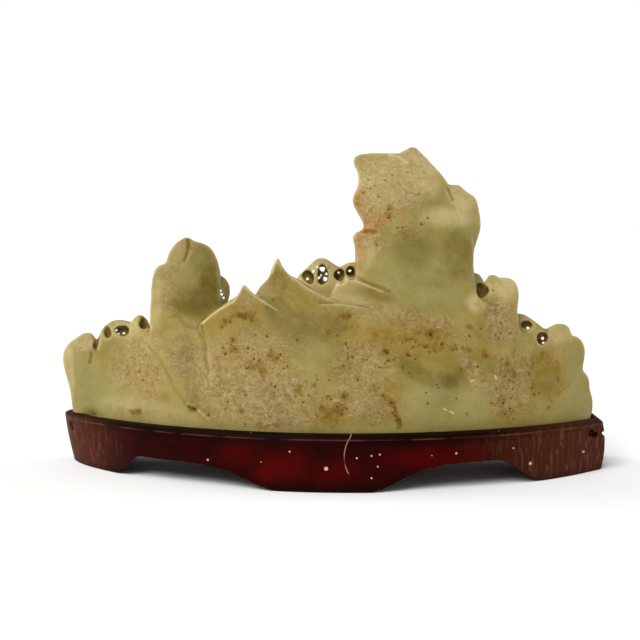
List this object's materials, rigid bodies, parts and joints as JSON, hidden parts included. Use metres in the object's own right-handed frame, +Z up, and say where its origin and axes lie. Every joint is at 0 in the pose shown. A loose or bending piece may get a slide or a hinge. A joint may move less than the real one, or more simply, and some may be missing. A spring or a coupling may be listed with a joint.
{
  "type": "soapstone mountain carving",
  "caption": "Carved soapstone mountain range with pierced trees, seated in a recess in a bowed hardwood stand on shaped feet.",
  "frame": {"origin": "on the surface the stand rests on, under the middle of the stand's bounding box", "axes": "+Z up, +X along the range towards the end with the squared stand corner, -Y towards the plain back of the carving"},
  "size_m": [0.282, 0.09, 0.165],
  "materials": {
    "soapstone": "hand polished, satin, pale green with beige and rust-brown veins",
    "stand_wood": "dark red-brown stain with worn lacquer"
  },
  "bodies": {
    "root": {"mountain_carving": "soapstone", "wood_stand": "stand_wood"}
  },
  "joints": []
}
